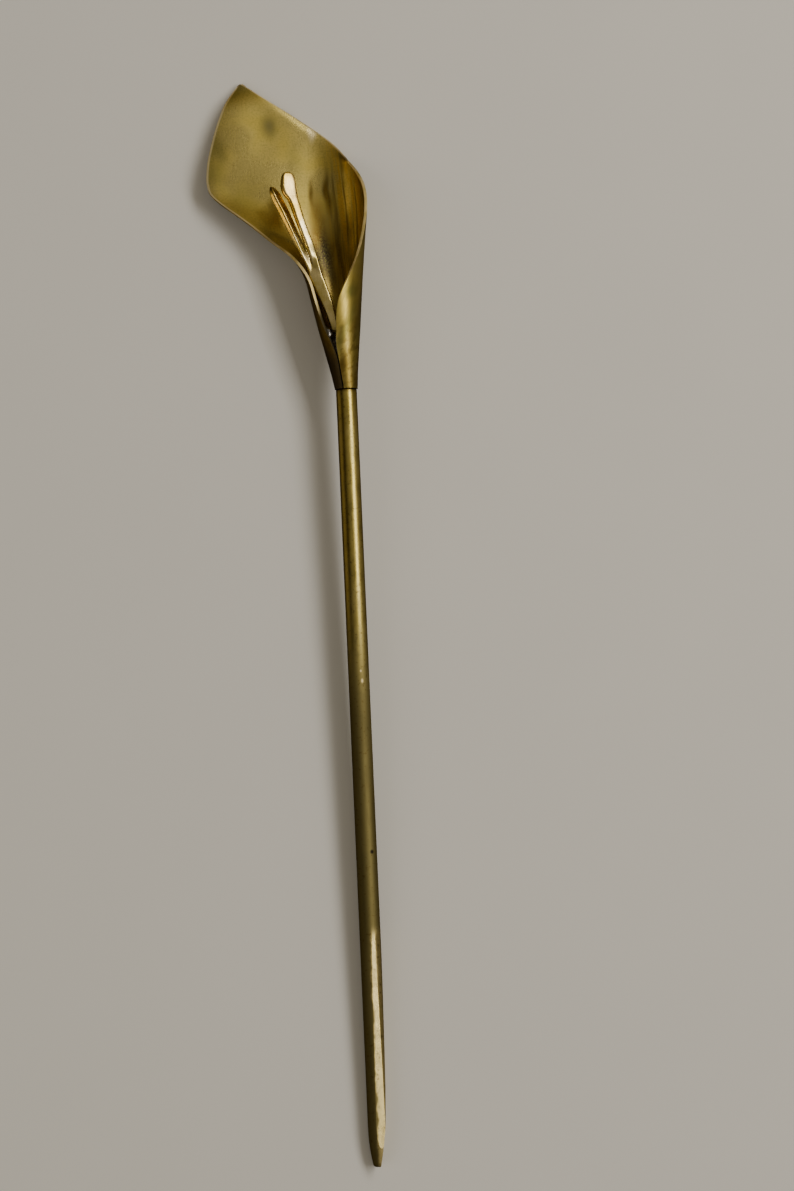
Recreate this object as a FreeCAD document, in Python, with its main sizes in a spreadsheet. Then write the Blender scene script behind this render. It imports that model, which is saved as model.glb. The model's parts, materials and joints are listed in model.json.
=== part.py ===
import FreeCAD, Part
import math
import os

import Sketcher
from FreeCAD import Placement, Rotation, Vector

# A brass hair stick: a round rod that ends in a calla-lily flower, lying on a table.
# In the stick's own frame +X is to the right, +Y runs along the rod to the flower and
# +Z is up out of the flower's open side. The rod's axis is the Y axis, and y = 0 is
# where the rod meets the flower's tail.

doc = FreeCAD.newDocument("hair_stick")

# Driving sizes, in mm and degrees
SIZES = (
    ("rod_radius", 1.6, "radius of the round rod"),
    ("rod_length", 118.0, "rod below the flower"),
    ("file_start", 83.0, "distance below the flower at which the filed point starts"),
    ("nose_length", 6.0, "length over which the nose narrows"),
    ("nose_end", 0.95, "radius of the nose at its end, before it is filed and rounded"),
    ("tip_round", 0.35, "rounding of the very tip"),
    ("side_cut_mid", 1.05, "side facet to the axis, at side_cut_run above the tip"),
    ("side_cut_low", 0.72, "side facet to the axis, where the nose starts"),
    ("side_cut_tip", -0.12, "side facet to the axis, at the tip"),
    ("side_cut_run", 12.0, "height above the tip at which side_cut_mid is measured"),
    ("front_cut", 1.46, "front facet to the axis"),
    ("front_cut_run", 14.0, "length over which the front facet runs in"),
    ("facet_turn", 16.0, "turn of the two facets about the rod, to the right"),
    ("spigot_radius", 1.28, "turned-down end of the rod inside the flower's tail"),
    ("spigot_length", 3.0, "length of that end"),
    ("seat_gap", 0.06, "gap between the rod's shoulder and the flower's tail"),
    ("petal_sheet", 0.42, "thickness of the petal's brass sheet"),
    ("flare_angle", 8.0, "angle past the belly at which the roll runs out into the flare"),
    ("solder_gap", 0.1, "gap between the solder and the petal"),
    ("lie_pitch", 2.36, "rise of the lying stick towards the flower"),
    ("lie_roll", 3.0, "turn of the lying stick about its own length"),
)
sizes = doc.addObject("Spreadsheet::Sheet", "sizes")
for line, (alias, value, note) in enumerate(SIZES, start=1):
    sizes.set(f"A{line}", note)
    sizes.set(f"B{line}", str(value))
    sizes.setAlias(f"B{line}", alias)
doc.recompute()

# The petal's sections across the stick, from its tail to its tip, in mm. Each is a
# roll of one radius, whose centre lies to the side of the rod's axis and at a height
# over it. On the left the roll runs out into a flare with a bend of its own (1/mm).
# The reaches are lengths of sheet from the belly to the right and the left edge.
PETAL_COLUMNS = ("station", "roll", "side", "height", "right", "left", "flare_bend")
PETAL_ROWS = (
    (0.00, 1.54, 0.00, 0.00, 5.13, 4.33, 0.649),
    (0.80, 1.65, -0.05, -0.01, 5.51, 4.63, 0.606),
    (2.40, 1.86, -0.16, -0.02, 6.27, 5.20, 0.538),
    (4.70, 2.24, -0.33, -0.05, 7.60, 6.22, 0.446),
    (6.90, 2.60, -0.49, -0.08, 8.82, 6.72, 0.385),
    (9.00, 2.98, -0.64, -0.12, 9.75, 7.05, 0.336),
    (11.30, 3.33, -0.79, -0.17, 10.62, 7.42, 0.300),
    (13.50, 3.66, -0.92, -0.25, 11.08, 7.82, 0.273),
    (17.00, 4.22, -1.16, -0.35, 10.85, 8.45, 0.237),
    (20.50, 4.82, -1.38, -0.45, 10.35, 9.00, 0.165),
    (24.00, 5.38, -1.56, -0.56, 10.00, 10.65, 0.060),
    (28.00, 5.85, -1.70, -0.70, 9.25, 14.40, 0.016),
    (30.00, 6.03, -1.82, -0.76, 8.65, 16.60, 0.007),
    (31.20, 6.13, -1.93, -0.79, 8.15, 17.70, 0.004),
    (32.00, 6.20, -2.00, -0.81, 7.75, 18.20, 0.003),
    (33.00, 6.27, -2.08, -0.83, 7.10, 18.42, 0.003),
    (36.00, 6.50, -2.30, -0.90, 4.75, 18.15, 0.002),
    (40.00, 6.80, -2.60, -1.02, 1.45, 16.95, 0.000),
    (44.00, 7.00, -2.80, -1.25, -3.60, 15.45, 0.000),
    (46.30, 7.06, -2.88, -1.60, -6.90, 14.35, 0.000),
    (48.00, 7.10, -2.94, -2.15, -9.35, 13.20, 0.000),
    (49.60, 7.14, -3.00, -2.85, -11.35, 11.95, 0.000),
)
PETAL_STEPS = 15

# The fork: centre and half widths at each station along the stick, from a tip down, in mm
FORK_COLUMNS = ("station", "side", "height", "half_width", "half_depth")
RIGHT_PRONG_ROWS = (
    (34.05, -7.60, -0.90, 0.45, 0.25),
    (33.60, -7.59, -0.92, 0.86, 0.45),
    (32.60, -7.57, -0.92, 1.13, 0.58),
    (31.40, -7.52, -0.89, 1.18, 0.62),
    (30.30, -7.20, -0.85, 1.00, 0.62),
    (29.20, -6.78, -0.80, 0.76, 0.62),
    (26.50, -6.01, -0.70, 0.68, 0.60),
    (23.30, -4.96, -0.57, 0.64, 0.58),
    (20.00, -4.00, -0.44, 0.60, 0.56),
    (16.00, -3.00, -0.28, 0.60, 0.56),
)
LEFT_PRONG_ROWS = (
    (31.85, -10.10, -0.95, 0.30, 0.25),
    (31.30, -9.86, -0.92, 0.66, 0.45),
    (29.80, -9.28, -0.86, 0.90, 0.60),
    (28.20, -8.56, -0.78, 0.90, 0.64),
    (25.00, -7.20, -0.65, 0.80, 0.64),
    (21.80, -5.87, -0.52, 0.74, 0.62),
    (18.60, -4.55, -0.39, 0.70, 0.60),
    (16.00, -3.60, -0.28, 0.66, 0.58),
)
STEM_ROWS = (
    (19.30, -4.40, -0.40, 0.55, 0.42),
    (18.00, -4.02, -0.36, 1.02, 0.60),
    (15.50, -3.12, -0.26, 1.04, 0.66),
    (12.30, -2.02, -0.13, 0.84, 0.66),
    (9.20, -1.20, 0.00, 0.72, 0.62),
    (5.00, -0.45, 0.00, 0.60, 0.60),
)

# The solder in the throat: the share of the roll that it fills at each station
SOLDER_COLUMNS = ("station", "fill")
SOLDER_ROWS = (
    (4.70, 1.00),
    (6.90, 1.00),
    (7.90, 0.93),
    (8.55, 0.70),
    (8.90, 0.38),
)


def size(alias):
    """The value of a named size"""
    return float(getattr(sizes, alias))


def table(columns, rows):
    """The rows of a table as dictionaries under its column names"""
    return [dict(zip(columns, row)) for row in rows]


def new_sketch(body, name, role):
    """A sketch on one of the body's own origin planes"""
    planes = {feature.Role: feature for feature in body.Origin.OriginFeatures}
    sketch = body.newObject("Sketcher::SketchObject", name)
    sketch.AttachmentSupport = [(planes[role], "")]
    sketch.MapMode = "FlatFace"
    return sketch


def draw_outline(sketch, corners, arc_side=None, arc_bulge=None):
    """Draw a closed outline and bind each of its corners to the sheet

    A corner is a pair of expressions. The side numbered arc_side is an arc that also
    passes the point arc_bulge.
    """
    origin = -1
    start, end = 1, 2
    count = len(corners)
    places = [Vector(*[float(sketch.evalExpression(text)) for text in corner]) for corner in corners]
    for side, place in enumerate(places):
        following = places[(side + 1) % count]
        if side == arc_side:
            sketch.addGeometry(Part.Arc(place, arc_bulge, following), False)
        else:
            sketch.addGeometry(Part.LineSegment(place, following), False)
    for side in range(count):
        sketch.addConstraint(Sketcher.Constraint("Coincident", side, end, (side + 1) % count, start))
    for side, (corner, place) in enumerate(zip(corners, places)):
        for kind, text, distance in zip(("DistanceX", "DistanceY"), corner, place):
            number = sketch.addConstraint(
                Sketcher.Constraint(kind, origin, start, side, start, distance)
            )
            sketch.setExpression(f"Constraints[{number}]", text)


# The rod is turned with a spigot, a shoulder and a rounded nose. Then its point is
# filed flat on two sides, so that the tip lies off the axis.
def make_shaft():
    body = doc.addObject("PartDesign::Body", "shaft")
    body.Label = "shaft"

    turned = new_sketch(body, "turned_profile", "XY_Plane")
    nose_side = 1
    nose_start = size("nose_length") - size("rod_length")
    nose_fall = size("rod_radius") - size("nose_end")
    nose_sweep = (nose_fall**2 + size("nose_length")**2) / (2 * nose_fall)
    half_turn = math.asin(size("nose_length") / nose_sweep) / 2
    nose_bulge = Vector(
        size("rod_radius") - nose_sweep * (1 - math.cos(half_turn)),
        nose_start - nose_sweep * math.sin(half_turn),
        0,
    )
    draw_outline(
        turned,
        (
            ("0", "-sizes.rod_length"),
            ("sizes.nose_end", "-sizes.rod_length"),
            ("sizes.rod_radius", "sizes.nose_length - sizes.rod_length"),
            ("sizes.rod_radius", "-sizes.seat_gap"),
            ("sizes.spigot_radius", "-sizes.seat_gap"),
            ("sizes.spigot_radius", "sizes.spigot_length"),
            ("0", "sizes.spigot_length"),
        ),
        nose_side,
        nose_bulge,
    )
    level = turned.addConstraint(
        Sketcher.Constraint("DistanceY", -1, 1, nose_side, 3, nose_start)
    )
    turned.setExpression(f"Constraints[{level}]", "sizes.nose_length - sizes.rod_length")
    rod = body.newObject("PartDesign::Revolution", "turned_rod")
    rod.Profile = turned
    rod.ReferenceAxis = (turned, ["V_Axis"])
    rod.Angle = 360
    doc.recompute()

    side_file = new_sketch(body, "side_facet_profile", "XY_Plane")
    draw_outline(
        side_file,
        (
            ("sizes.rod_radius", "-sizes.file_start"),
            ("sizes.side_cut_mid", "sizes.side_cut_run - sizes.rod_length"),
            ("sizes.side_cut_low", "sizes.nose_length - sizes.rod_length"),
            ("sizes.side_cut_tip", "-sizes.rod_length"),
            ("sizes.side_cut_tip", "-sizes.rod_length - sizes.rod_radius"),
            ("2 * sizes.rod_radius", "-sizes.rod_length - sizes.rod_radius"),
            ("2 * sizes.rod_radius", "-sizes.file_start"),
        ),
    )
    front_file = new_sketch(body, "front_facet_profile", "YZ_Plane")
    draw_outline(
        front_file,
        (
            ("-sizes.file_start", "sizes.rod_radius"),
            ("-sizes.file_start - sizes.front_cut_run", "sizes.front_cut"),
            ("-sizes.rod_length - sizes.rod_radius", "sizes.front_cut"),
            ("-sizes.rod_length - sizes.rod_radius", "2 * sizes.rod_radius"),
            ("-sizes.file_start", "2 * sizes.rod_radius"),
        ),
    )
    for name, outline in (("side_facet", side_file), ("front_facet", front_file)):
        before = body.Shape.Volume
        cut = body.newObject("PartDesign::Pocket", name)
        cut.Profile = outline
        cut.SideType = "Symmetric"
        cut.setExpression("Length", "4 * sizes.rod_radius")
        doc.recompute()
        if not body.Shape.Volume < before - 0.1:
            raise RuntimeError(f"{name} cuts nothing")

    end_face = min(cut.Shape.Faces, key=lambda face: face.CenterOfMass.y)
    end_edges = [
        f"Edge{number}"
        for number, edge in enumerate(cut.Shape.Edges, start=1)
        if any(edge.isSame(other) for other in end_face.Edges)
    ]
    tip = body.newObject("PartDesign::Fillet", "rounded_tip")
    tip.Base = (cut, end_edges)
    tip.setExpression("Radius", "sizes.tip_round")
    doc.recompute()
    return body


# One point of the petal's sheet in its section: a length of sheet from the belly,
# positive to the right, and a distance from the middle of the sheet, positive outward
def petal_point(row, reach, outward):
    flare = math.radians(size("flare_angle"))
    roll_end = -flare * row["roll"]
    if reach >= roll_end:
        turn = reach / row["roll"]
        radius = row["roll"] + outward
        side, height = radius * math.sin(turn), -radius * math.cos(turn)
    else:
        beyond = roll_end - reach
        slope = flare + row["flare_bend"] * beyond
        if row["flare_bend"]:
            run = (math.sin(slope) - math.sin(flare)) / row["flare_bend"]
            rise = (math.cos(flare) - math.cos(slope)) / row["flare_bend"]
        else:
            run = beyond * math.cos(flare)
            rise = beyond * math.sin(flare)
        side = -row["roll"] * math.sin(flare) - run - outward * math.sin(slope)
        height = -row["roll"] * math.cos(flare) + rise - outward * math.cos(slope)
    return Vector(row["side"] + side, row["station"], row["height"] + height)


def petal_face(outward):
    """The petal's sheet at a distance from its middle, smooth through all sections"""
    rows = []
    for row in table(PETAL_COLUMNS, PETAL_ROWS):
        width = row["right"] + row["left"]
        reaches = [row["right"] - width * step / PETAL_STEPS for step in range(PETAL_STEPS + 1)]
        rows.append([petal_point(row, reach, outward) for reach in reaches])
    surface = Part.BSplineSurface()
    surface.interpolate(rows)
    return surface


# The petal is two smooth faces a sheet's thickness apart, joined by its cut edge
def make_spathe():
    outer = petal_face(size("petal_sheet") / 2)
    inner = petal_face(-size("petal_sheet") / 2)
    first_u, last_u, first_v, last_v = outer.bounds()
    faces = [outer.toShape(), inner.toShape()]
    same_direction = 1
    for edge_of in (
        lambda face: face.uIso(first_u),
        lambda face: face.uIso(last_u),
        lambda face: face.vIso(first_v),
        lambda face: face.vIso(last_v),
    ):
        edges = [edge_of(outer).toShape(), edge_of(inner).toShape()]
        faces.append(Part.makeRuledSurface(*edges, same_direction))
    shell = Part.Shell(faces)
    shell.sewShape()
    solid = Part.Solid(shell)
    if solid.Volume < 0:
        solid.reverse()
    piece = doc.addObject("Part::Feature", "spathe")
    piece.Label = "spathe"
    piece.Shape = solid
    return piece


def oval(row):
    """An oval wire across the stick, of the row's half widths"""
    centre = Vector(row["side"], row["station"], row["height"])
    across = Vector(row["half_width"], 0, 0)
    deep = Vector(0, 0, row["half_depth"])
    if row["half_width"] >= row["half_depth"]:
        curve = Part.Ellipse(centre + across, centre + deep, centre)
    else:
        curve = Part.Ellipse(centre + deep, centre - across, centre)
    return Part.Wire([curve.toShape()])


def smooth_solid(wires):
    """A solid that runs smoothly through closed wires"""
    solid, ruled, closed, highest_degree = True, False, False, 2
    return Part.makeLoft(wires, solid, ruled, closed, highest_degree)


def fork_limb(rows):
    """A limb of the fork, lofted through its ovals"""
    return smooth_solid([oval(row) for row in table(FORK_COLUMNS, rows)])


def petal_row_at(station):
    """The petal's roll at a station, between the rows of its table"""
    rows = table(PETAL_COLUMNS, PETAL_ROWS)
    below, above = next(
        (low, high) for low, high in zip(rows, rows[1:]) if station <= high["station"]
    )
    share = (station - below["station"]) / (above["station"] - below["station"])
    return {name: below[name] + share * (above[name] - below[name]) for name in PETAL_COLUMNS}


def solder_bed():
    """The solder that fills the throat round the fork's foot"""
    wires = []
    for row in table(SOLDER_COLUMNS, SOLDER_ROWS):
        petal = petal_row_at(row["station"])
        inside = petal["roll"] - size("petal_sheet") / 2 - size("solder_gap")
        centre = Vector(petal["side"], row["station"], petal["height"])
        ring = Part.Circle(centre, Vector(0, 1, 0), inside * row["fill"])
        wires.append(Part.Wire([ring.toShape()]))
    return smooth_solid(wires)


# The fork's two prongs, its stem and the solder that holds it are one soldered piece
def make_stamens():
    prongs = [fork_limb(rows) for rows in (RIGHT_PRONG_ROWS, LEFT_PRONG_ROWS)]
    fork = fork_limb(STEM_ROWS).fuse(prongs)
    piece = doc.addObject("Part::Feature", "stamens")
    piece.Label = "stamens"
    piece.Shape = fork.fuse(solder_bed()).removeSplitter()
    return piece


shaft = make_shaft()
spathe = make_spathe()
stamens = make_stamens()
pieces = (shaft, spathe, stamens)

# The stick lies on its point, its petal's belly and its petal's bent tip. The origin is
# the middle of the space that it takes, on the table.
lying = Placement(Vector(), Rotation(0, size("lie_roll"), size("lie_pitch")))
facets = Placement(Vector(), Rotation(Vector(0, 1, 0), size("facet_turn")))
for piece in pieces:
    piece.Placement = lying
shaft.Placement = lying * facets
doc.recompute()
space = Part.makeCompound([piece.Shape for piece in pieces]).optimalBoundingBox(True, False)
seat = Placement(Vector(-space.Center.x, -space.Center.y, -space.ZMin), Rotation())
for piece in pieces:
    piece.Placement = seat * piece.Placement
doc.recompute()

for item in doc.Objects:
    if "Invalid" in item.State or "Error" in item.State:
        raise RuntimeError(f"{item.Name} failed")
for piece in pieces:
    if piece.Shape.isNull() or not piece.Shape.isValid():
        raise RuntimeError(f"{piece.Label} has no valid shape")
    print(piece.Label, round(piece.Shape.Volume, 1), "mm3", len(piece.Shape.Solids), "solid")

os.makedirs("parts", exist_ok=True)
for piece in pieces:
    piece.Shape.exportStep(f"parts/{piece.Label}.step")
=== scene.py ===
"""A brass hair stick: a round rod with a filed point that ends in a calla-lily flower.

The pieces are made in the stick's own frame, in millimetres: +X to the right, +Y along
the rod to the flower, +Z up out of the flower's open side, y = 0 where the rod meets the
flower's tail. Each finished mesh is then scaled to metres and laid down as the CAD is.
"""

import json
from math import copysign, cos, pi, radians, sin, sqrt

import bmesh
import bpy
from bpy.props import FloatProperty, FloatVectorProperty, PointerProperty
from mathutils import Matrix, Vector, noise


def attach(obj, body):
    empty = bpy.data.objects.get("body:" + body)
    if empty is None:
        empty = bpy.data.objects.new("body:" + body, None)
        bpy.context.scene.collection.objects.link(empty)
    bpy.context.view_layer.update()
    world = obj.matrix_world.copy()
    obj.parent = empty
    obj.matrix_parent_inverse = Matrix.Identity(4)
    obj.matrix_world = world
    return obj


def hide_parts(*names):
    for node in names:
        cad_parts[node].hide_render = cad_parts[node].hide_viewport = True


bl_info = {
    "name": "Brass Calla Hair Stick",
    "version": (1, 0, 0),
    "blender": (4, 5, 0),
    "location": "View3D > Sidebar > Hair Stick",
    "description": "Makes a brass hair stick with a calla-lily flower of rolled sheet",
    "category": "Add Mesh",
}

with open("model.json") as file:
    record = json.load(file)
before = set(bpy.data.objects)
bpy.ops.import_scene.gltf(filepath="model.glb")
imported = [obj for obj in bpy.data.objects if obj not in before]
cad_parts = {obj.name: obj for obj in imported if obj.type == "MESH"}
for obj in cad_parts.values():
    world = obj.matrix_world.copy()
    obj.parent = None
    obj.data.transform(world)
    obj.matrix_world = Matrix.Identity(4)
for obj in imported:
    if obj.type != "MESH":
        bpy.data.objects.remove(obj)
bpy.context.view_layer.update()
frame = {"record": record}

MM = 0.001
PREFIX = "hair_stick"

# How the stick lies, and where its rod meets the flower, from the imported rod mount
LIE_PITCH = radians(2.36)
LIE_ROLL = radians(3.0)
ROD_TOP = 0.06
rod_mount = next(mount for mount in frame["record"]["mounts"] if mount["name"] == "rod")
ROD_RADIUS = rod_mount["dims"]["r_mm"]
ROD_WALL = rod_mount["dims"]["length_mm"]
FLOWER_FOOT = Vector(rod_mount["pos_m"]) - Vector(rod_mount["axis"]) * (ROD_WALL / 2 + ROD_TOP) * MM
LYING = (
    Matrix.Translation(FLOWER_FOOT)
    @ Matrix.Rotation(LIE_ROLL, 4, "Y")
    @ Matrix.Rotation(LIE_PITCH, 4, "X")
    @ Matrix.Scale(MM, 4)
)

# The petal's sections across the stick, from its tail to its tip, in mm. Each is a roll
# of one radius whose centre lies to the side of the rod's axis and at a height over it.
# On the left the roll runs out into a flare with a bend of its own (1/mm). The reaches
# are lengths of sheet from the belly to the right and the left edge.
PETAL_COLUMNS = ("station", "roll", "side", "height", "right", "left", "flare_bend")
PETAL_ROWS = (
    (0.00, 1.54, 0.00, 0.00, 5.13, 4.33, 0.649),
    (0.80, 1.65, -0.05, -0.01, 5.51, 4.63, 0.606),
    (2.40, 1.86, -0.16, -0.02, 6.27, 5.20, 0.538),
    (4.70, 2.24, -0.33, -0.05, 7.60, 6.22, 0.446),
    (6.90, 2.60, -0.49, -0.08, 8.82, 6.72, 0.385),
    (9.00, 2.98, -0.64, -0.12, 9.75, 7.05, 0.336),
    (11.30, 3.33, -0.79, -0.17, 10.62, 7.42, 0.300),
    (13.50, 3.66, -0.92, -0.25, 11.08, 7.82, 0.273),
    (17.00, 4.22, -1.16, -0.35, 10.85, 8.45, 0.237),
    (20.50, 4.82, -1.38, -0.45, 10.35, 9.00, 0.165),
    (24.00, 5.38, -1.56, -0.56, 10.00, 10.65, 0.060),
    (28.00, 5.85, -1.70, -0.70, 9.25, 14.40, 0.016),
    (30.00, 6.03, -1.82, -0.76, 8.65, 16.60, 0.007),
    (31.20, 6.13, -1.93, -0.79, 8.15, 17.70, 0.004),
    (32.00, 6.20, -2.00, -0.81, 7.75, 18.20, 0.003),
    (33.00, 6.27, -2.08, -0.83, 7.10, 18.42, 0.003),
    (36.00, 6.50, -2.30, -0.90, 4.75, 18.15, 0.002),
    (40.00, 6.80, -2.60, -1.02, 1.45, 16.95, 0.000),
    (44.00, 7.00, -2.80, -1.25, -3.60, 15.45, 0.000),
    (46.30, 7.06, -2.88, -1.42, -6.90, 14.35, 0.000),
    (48.00, 7.10, -2.94, -1.56, -9.35, 13.20, 0.000),
    (49.00, 7.13, -2.98, -1.66, -10.60, 12.45, 0.000),
    (49.40, 7.14, -2.99, -1.70, -11.15, 12.10, 0.000),
    (49.60, 7.14, -3.00, -1.72, -11.55, 11.75, 0.000),
)
FLARE_ANGLE = radians(8.0)
STRAIGHT = 1e-4

# The fork's strips: centre, half widths and twist at each station, from a tip down, in mm
# and degrees. A positive twist turns the strip's face to the right.
FORK_COLUMNS = ("station", "side", "height", "half_width", "half_depth", "twist")
RIGHT_PRONG_ROWS = (
    (34.08, -7.61, -0.90, 0.24, 0.25, 20.0),
    (33.95, -7.60, -0.90, 0.56, 0.33, 20.0),
    (33.65, -7.59, -0.92, 0.85, 0.42, 20.0),
    (33.20, -7.58, -0.92, 1.02, 0.50, 20.0),
    (32.60, -7.57, -0.92, 1.13, 0.55, 20.0),
    (31.40, -7.52, -0.89, 1.18, 0.60, 20.0),
    (30.40, -7.25, -0.85, 1.04, 0.62, 20.0),
    (29.80, -6.98, -0.82, 0.82, 0.62, 20.0),
    (29.20, -6.78, -0.80, 0.76, 0.62, 20.0),
    (26.50, -6.01, -0.70, 0.68, 0.60, 20.0),
    (23.30, -4.96, -0.57, 0.64, 0.58, 20.0),
    (21.00, -4.28, -0.48, 0.61, 0.56, 20.0),
    (20.00, -4.00, -0.44, 0.60, 0.56, 0.0),
    (16.00, -3.00, -0.28, 0.60, 0.56, 0.0),
)
LEFT_PRONG_ROWS = (
    (31.85, -10.10, -0.95, 0.30, 0.25, 47.0),
    (31.30, -9.86, -0.92, 0.66, 0.42, 47.0),
    (29.80, -9.28, -0.86, 0.84, 0.58, 47.0),
    (28.20, -8.56, -0.78, 0.84, 0.60, 47.0),
    (25.00, -7.25, -0.65, 0.72, 0.58, 44.0),
    (21.80, -5.98, -0.52, 0.62, 0.54, 34.0),
    (18.60, -4.62, -0.39, 0.60, 0.54, 14.0),
    (16.00, -3.60, -0.28, 0.64, 0.56, 0.0),
)
STEM_ROWS = (
    (19.30, -4.40, -0.40, 0.55, 0.42, 0.0),
    (18.00, -4.02, -0.36, 1.02, 0.60, 0.0),
    (15.50, -3.12, -0.26, 1.04, 0.66, 0.0),
    (12.30, -2.02, -0.13, 0.84, 0.66, 0.0),
    (9.20, -1.20, 0.00, 0.72, 0.62, 0.0),
    (5.00, -0.45, 0.00, 0.60, 0.60, 0.0),
)


def table(columns, rows):
    """Rows of numbers as dictionaries under their column names, sorted by station"""
    named = (dict(zip(columns, row)) for row in rows)
    return sorted(named, key=lambda row: row["station"])


def clamped(share):
    """A number kept between 0 and 1"""
    return min(max(share, 0.0), 1.0)


def row_at(rows, station):
    """The row of a table at any station, on a smooth curve through its neighbours"""
    last = len(rows) - 1
    spans = (span for span in range(last) if station <= rows[span + 1]["station"])
    at = next(spans, last - 1)
    low, high = rows[at], rows[at + 1]
    gap = high["station"] - low["station"]
    share = clamped((station - low["station"]) / gap)
    made = {"station": station}
    for name in low:
        if name == "station":
            continue
        rise = high[name] - low[name]
        leave = rise if at == 0 else joint_slope(rows, at, name) * gap
        arrive = rise if at == last - 1 else joint_slope(rows, at + 1, name) * gap
        made[name] = (
            low[name] * (2 * share**3 - 3 * share**2 + 1)
            + leave * (share**3 - 2 * share**2 + share)
            + high[name] * (3 * share**2 - 2 * share**3)
            + arrive * (share**3 - share**2)
        )
    return made


def joint_slope(rows, at, name):
    """The slope of one column where two spans of a table meet"""
    before, here, after = rows[at - 1], rows[at], rows[at + 1]
    span_in = here["station"] - before["station"]
    span_out = after["station"] - here["station"]
    slope_in = (here[name] - before[name]) / span_in
    slope_out = (after[name] - here[name]) / span_out
    return (slope_in * span_out + slope_out * span_in) / (span_in + span_out)


PETAL = table(PETAL_COLUMNS, PETAL_ROWS)

# The line that the petal's tip is folded back along, as reach and station in mm, the
# direction across it, and the length that the bend takes
TIP_FOLD_AT = (-12.05, 46.55)
TIP_FOLD_WAY = (-0.327, 0.945)
TIP_FOLD_BEND = 0.8

# The shallow dents: where they start and grow to their full depth, and their size, in mm
DENTS_FROM = 16.0
DENTS_GROW = 10.0
DENT_WIDTH = 8.0
DENT_LENGTH = 11.0
DENT_SEED = 3.7

# The right edge's outward roll near the tip: its width, the station where it is
# strongest, how far from there it reaches (mm) and how fast it drops (1/mm)
RIM_ROLL_WIDTH = 1.9
RIM_ROLL_AT = 42.0
RIM_ROLL_SPAN = 7.0
RIM_ROLL = 0.076

# How the flared leaf sinks towards its left edge: the reach where it starts, and its bend
FLARE_EASE_FROM = -3.0
FLARE_EASE = 0.0075

# The petal's grid, and its own map: mm of sheet to one unit of the map
PETAL_COLUMN_COUNT = 120
PETAL_ROW_COUNT = 200
PETAL_END = 49.6
SHEET_SPAN = 50.0
SHEET_MAP = "sheet"
RIM_DISTANCE = "from_rim"

# The open part, beyond a station and left of a reach, is eased by rounds of smoothing
EASED_FROM = 20.0
EASED_LEFT_OF = 4.5
EASING_ROUNDS = 90

# Beyond this station the leaf is open, and its faces tell which side is up
OPEN_FROM = 36.0

# The rounding of the sheet's rim: its steps, and the angle from which an edge gets one
RIM_STEPS = 3
RIM_FROM = radians(50)


def petal_point(row, reach, outward):
    """A point of the petal's sheet, at a length of sheet from the belly and a distance
    from the sheet's middle, positive outward"""
    roll_end = -FLARE_ANGLE * row["roll"]
    if reach >= roll_end:
        turn = reach / row["roll"]
        radius = row["roll"] + outward
        side, height = radius * sin(turn), -radius * cos(turn)
    else:
        beyond = roll_end - reach
        bend = row["flare_bend"]
        slope = FLARE_ANGLE + bend * beyond
        if abs(bend) > STRAIGHT:
            run = (sin(slope) - sin(FLARE_ANGLE)) / bend
            rise = (cos(FLARE_ANGLE) - cos(slope)) / bend
        else:
            run = beyond * cos(FLARE_ANGLE)
            rise = beyond * sin(FLARE_ANGLE)
        side = -row["roll"] * sin(FLARE_ANGLE) - run - outward * sin(slope)
        height = -row["roll"] * cos(FLARE_ANGLE) + rise - outward * cos(slope)
    return Vector((row["side"] + side, row["station"], row["height"] + height))


def shaped_petal_point(row, reach, sizes):
    """A point of the finished petal: the rolled sheet with its folded tip, its dents and
    its rolled edge"""
    station = row["station"]
    past_fold = (reach - TIP_FOLD_AT[0]) * TIP_FOLD_WAY[0]
    past_fold += (station - TIP_FOLD_AT[1]) * TIP_FOLD_WAY[1]
    if past_fold > TIP_FOLD_BEND:
        drop = past_fold - TIP_FOLD_BEND / 2
    else:
        drop = max(past_fold, 0.0) ** 2 / (2 * TIP_FOLD_BEND)
    grown = clamped((station - DENTS_FROM) / DENTS_GROW)
    hollow = noise.noise(Vector((reach / DENT_WIDTH, station / DENT_LENGTH, DENT_SEED)))
    point = petal_point(row, reach, hollow * grown * sizes.dent_depth / MM)
    point.z -= drop * sizes.tip_fold
    near_rim = max(RIM_ROLL_WIDTH - (row["right"] - reach), 0.0)
    by_station = max(1 - abs(station - RIM_ROLL_AT) / RIM_ROLL_SPAN, 0.0)
    point.z -= RIM_ROLL * near_rim**2 * by_station * by_station * (3 - 2 * by_station)
    point.z -= FLARE_EASE / 2 * max(FLARE_EASE_FROM - reach, 0.0) ** 2 * grown
    return point


def coat(bm, name, materials):
    """Turns a finished mesh in mm into a smooth object in metres that lies as the stick does"""
    for face in bm.faces:
        face.smooth = True
    bmesh.ops.transform(bm, matrix=LYING, verts=bm.verts)
    mesh = bpy.data.meshes.new(name)
    bm.to_mesh(mesh)
    bm.free()
    for material in materials:
        mesh.materials.append(material)
    piece = bpy.data.objects.new(name, mesh)
    bpy.context.scene.collection.objects.link(piece)
    return piece


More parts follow.
